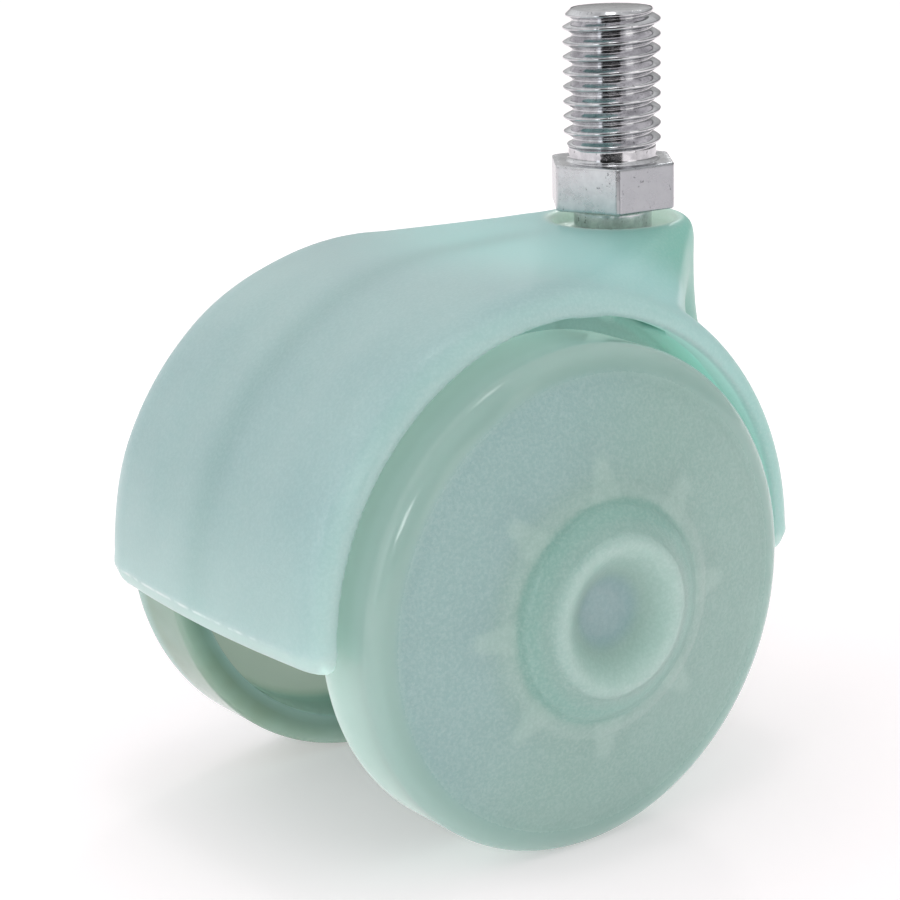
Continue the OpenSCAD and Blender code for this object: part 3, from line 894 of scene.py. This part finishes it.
def hexagon_mesh():
    """Hexagon and shank, with two values for each point: on a flat, and on the flat darkened with painted
    shade.
    """
    n = 360
    ang = np.arange(n) * 2 * np.pi / n
    # corners at HEX_TURN and every 60 degrees from it, rounded off
    local = (ang - math.radians(HEX_TURN)) % (math.pi / 3) - math.pi / 6
    hexr = np.minimum(HEX_AF / 2 / np.cos(local), HEX_AF / 2 / math.cos(math.pi / 6) - 0.13)
    # painted shade: the face at 265 degrees is darker than the others
    facing = (np.degrees(ang) - HEX_TURN) % 360
    shaded_side = ((facing > 240.5) & (facing < 299.5)).astype(float)
    bottom = SEAT_Z - HEX_H
    rows = [(4.3 + 0 * hexr, SEAT_Z, 0), (5.3 + 0 * hexr, SEAT_Z, 0)]
    edge = ((0.4, 0.0), (0.22, 0.0), (0.14, 0.02), (0.06, 0.07), (0.02, 0.14), (0.0, 0.22), (0.0, 0.4))
    rows += [(hexr - drawn, SEAT_Z - drop, 1) for drawn, drop in edge]
    rows.append((hexr, SEAT_Z - HEX_H / 2, 1))
    rows += [(hexr - drawn, bottom + drop, 1) for drawn, drop in edge[::-1]]
    shank = (
        (4.6, bottom), (4.15, bottom), (SHANK_R, bottom - 0.15), (SHANK_R, bottom - 0.6),
        (SHANK_R, bottom - 1.6), (SHANK_R, bottom - 6), (SHANK_R, GROOVE_Z + 1.32),
        (GROOVE_R, GROOVE_Z + 1.3), (GROOVE_R, GROOVE_Z - 0.1), (SHANK_R, GROOVE_Z - 0.12),
        (SHANK_R, SHANK_END + 0.4), (3.6, SHANK_END), (0.01, SHANK_END),
    )
    rows += [(r + 0 * hexr, z, 0) for r, z in shank]
    verts = np.concatenate([
        np.stack([r * np.cos(ang), r * np.sin(ang), z + 0 * ang], 1) for r, z, _ in rows
    ])
    faces = []
    for i in range(len(rows) - 1):
        for k in range(n):
            a, b = i * n + k, i * n + (k + 1) % n
            faces.append((a, a + n, b + n, b))
    on_flat = np.concatenate([np.full(n, fl) for _, _, fl in rows])
    shaded_flat = np.concatenate([0.75 * shaded_side * fl for _, _, fl in rows])
    return (verts, faces), on_flat, shaded_flat


def build_stem(material):
    turned, on_flat, shaded_flat = hexagon_mesh()
    verts, faces = join([thread_mesh(), end_disc(), turned])
    ob = make_object("stem_turned", verts, faces, "stem", material, "stem")
    above = np.zeros(len(verts) - len(on_flat))
    set_attribute(ob, "flat", np.concatenate([above, on_flat]))
    set_attribute(ob, "shaded_flat", np.concatenate([above, shaded_flat]))
    return ob


# ---------------------------------------------------------------- build
build_hood(hood_plastic())
wheel_mat = wheel_plastic()
build_wheel(1, wheel_mat)
build_wheel(-1, wheel_mat)
build_stem(plated_steel())
for node, name, shade in (
    ("axle", "axle_steel", (150, 150, 152)),
    ("retaining_ring", "spring_steel", (120, 120, 122)),
):
    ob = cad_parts[node]
    ob.data.materials.clear()
    ob.data.materials.append(pin_steel(name, shade))

# ---------------------------------------------------------------- stage
FLOOR_HALF = 5.0


def sheet(name, corners):
    """Four-cornered sheet of the studio, in metres."""
    me = bpy.data.meshes.new(name)
    me.from_pydata(corners, [], [(0, 1, 2, 3)])
    ob = bpy.data.objects.new(name, me)
    bpy.context.scene.collection.objects.link(ob)
    return ob


floor = sheet("floor", [
    (x * FLOOR_HALF, y * FLOOR_HALF, FLOOR_Z * MM) for x, y in ((-1, -1), (1, -1), (1, 1), (-1, 1))
])
fm = Nodes("floor_white")
# painted: the floor's faint pink cancels the green cast of light bounced from the plastic into its
# shadows
fm.put(fm.bsdf, "Base Color", (0.9, 0.85, 0.865, 1))
fm.put(fm.bsdf, "Roughness", 0.8)
fm.put(fm.bsdf, "Specular IOR Level", 0.1)
fm.put(fm.bsdf, "Emission Color", (1, 0.96, 0.97, 1))
# painted shadow: the floor gives off less light within about 0.1 m of the object
painted_shadow_distance = fm.new("ShaderNodeVectorMath", Vector=fm.coords())
painted_shadow_distance.operation = "LENGTH"
fm.put(fm.bsdf, "Emission Strength", fm.span(painted_shadow_distance.outputs["Value"], 0.068, 0.12, 0.26, 0.38))
floor.data.materials.append(fm.mat)


class Sky(Nodes):
    """Nodes of the studio round the object, by direction."""

    def __init__(self, world):
        world.use_nodes = True
        self.tree = world.node_tree
        self.out = self.tree.nodes["Background"]

    def vector(self, op, a, b=None):
        n = self.new("ShaderNodeVectorMath")
        n.operation = op
        for i, v in enumerate((a, b)):
            if isinstance(v, bpy.types.NodeSocket):
                self.tree.links.new(v, n.inputs[i])
            elif v is not None:
                n.inputs[i].default_value = v
        return n.outputs["Value" if op == "DOT_PRODUCT" else "Vector"]


# level directions towards the camera side and across it
TO_CAMERA, ACROSS = (-0.588, -0.809, 0), (0.808, -0.589, 0)
world = bpy.data.worlds.new("studio")
bpy.context.scene.world = world
sky = Sky(world)
direction = sky.new("ShaderNodeTexCoord").outputs["Generated"]
height = sky.new("ShaderNodeSeparateXYZ", Vector=direction).outputs["Z"]
flat_dir = sky.vector("NORMALIZE", sky.vector("MULTIPLY", direction, (1, 1, 0)))
ahead = sky.vector("DOT_PRODUCT", flat_dir, TO_CAMERA)
dome = sky.math("SUBTRACT", sky.span(height, 0.1, 0.5, 0.6, 1.1), sky.span(height, 0.6, 0.95, 0, 0.35))
away = sky.vector("DOT_PRODUCT", flat_dir, (0.966, -0.259, 0))
shade = sky.math("MULTIPLY", sky.span(away, 0.0, 0.9, 0, 0.5), sky.span(height, 0.4, 0.9, 1, 0))
dome = sky.math("MULTIPLY", dome, sky.math("SUBTRACT", 1.0, shade))
dark = sky.math("MULTIPLY", sky.span(ahead, 0.8, 0.92, 0, 0.93), sky.span(height, 0.55, 0.85, 1, 0))
sky.put(sky.out, "Strength", sky.math("MULTIPLY", dome, sky.math("SUBTRACT", 1.0, dark)))
sky.put(sky.out, "Color", (1, 1, 1, 1))


def softbox(name, at, size, watts, colour=(1, 1, 1)):
    """Rectangular light that faces the middle of the object."""
    look = Vector((-15, 0, -20))
    light = bpy.data.lights.new(name, "AREA")
    light.shape = "RECTANGLE"
    light.size, light.size_y = size[0] * MM, size[1] * MM
    light.energy = watts
    light.color = colour
    ob = bpy.data.objects.new(name, light)
    ob.location = Vector(at) * MM
    ob.rotation_euler = (look - Vector(at)).to_track_quat("-Z", "Y").to_euler()
    ob.visible_camera = False
    bpy.context.scene.collection.objects.link(ob)


softbox("shoulder_light", (-250, -300, 110), (76, 76), 0.18)
softbox("back_light", (316, 284, 226), (60, 60), 0.16)
softbox("top_light", (-45, -40, 420), (90, 90), 0.13)
softbox("strip_left", (-470, -150, 60), (150, 260), 0.16, (0.9, 0.96, 1.0))
softbox("strip_right", (110, -480, 60), (200, 260), 0.18, (1.0, 0.98, 0.93))

# dark card ahead of the stem, seen only in reflections
ahead_dir, side_dir = np.array(TO_CAMERA), np.array(ACROSS)
card = sheet("card", [
    tuple((ahead_dir * 60 + side_dir * u + np.array((0, 0, v))) * MM)
    for u, v in ((-40, -14), (24, -14), (24, 80), (-40, 80))
])
cm = Nodes("card_black")
cm.put(cm.bsdf, "Base Color", (0.01, 0.01, 0.01, 1))
cm.put(cm.bsdf, "Roughness", 0.9)
card.data.materials.append(cm.mat)
card.visible_camera = card.visible_diffuse = card.visible_shadow = card.visible_transmission = False

# --------------------------------------------------------------- camera
# angles, place and focal length are the ones solved from the photo
CAM_ANGLES = (-36.0671, 16.2649, -1.4703)
CAM_SIDE, CAM_UP, CAM_BACK = 0.269, 35.32, 260.803
FOCAL_PX, PHOTO_PX, SENSOR_MM = 2598.0, 900, 36
a, e, roll = (math.radians(v) for v in CAM_ANGLES)
back = Vector((math.sin(a) * math.cos(e), -math.cos(a) * math.cos(e), math.sin(e)))
level = Vector((math.cos(a), math.sin(a), 0))
upright = back.cross(level)
right = level * math.cos(roll) + upright * math.sin(roll)
up = -level * math.sin(roll) + upright * math.cos(roll)
at = level * CAM_SIDE + Vector((0, 0, CAM_UP)) + back * CAM_BACK - Vector((-AX, 0, -FLOOR_Z))
cam = bpy.data.cameras.new("camera")
cam.sensor_width = SENSOR_MM
cam.lens = FOCAL_PX / PHOTO_PX * SENSOR_MM
cam.clip_start, cam.clip_end = 0.01, 20
cam_ob = bpy.data.objects.new("camera", cam)
matrix = Matrix((right, up, back)).transposed().to_4x4()
matrix.translation = at * MM
cam_ob.matrix_world = matrix
bpy.context.scene.collection.objects.link(cam_ob)
bpy.context.scene.camera = cam_ob
bpy.context.scene.view_settings.view_transform = "Standard"
